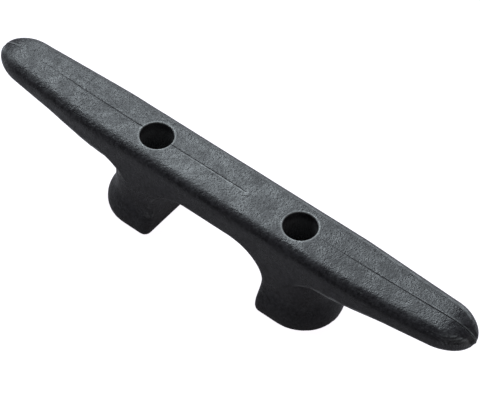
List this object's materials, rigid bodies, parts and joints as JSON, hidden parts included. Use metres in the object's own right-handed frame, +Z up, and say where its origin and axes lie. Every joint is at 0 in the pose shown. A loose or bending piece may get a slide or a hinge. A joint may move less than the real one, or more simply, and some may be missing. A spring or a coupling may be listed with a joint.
{
  "type": "deck cleat",
  "caption": "Open-base deck cleat moulded in black nylon: a long bar tapering to a horn at each end, on short flared legs, with deep bolt recesses in its top.",
  "frame": {"origin": "centre of the deck plane under the cleat, midway between the two feet", "axes": "+X along the horns, +Y across the bar, +Z up from the deck"},
  "size_m": [0.2, 0.0288, 0.0375],
  "materials": {
    "nylon": "moulded, with a fine even grain"
  },
  "bodies": {
    "root": {"cleat_body": "nylon"}
  },
  "joints": []
}
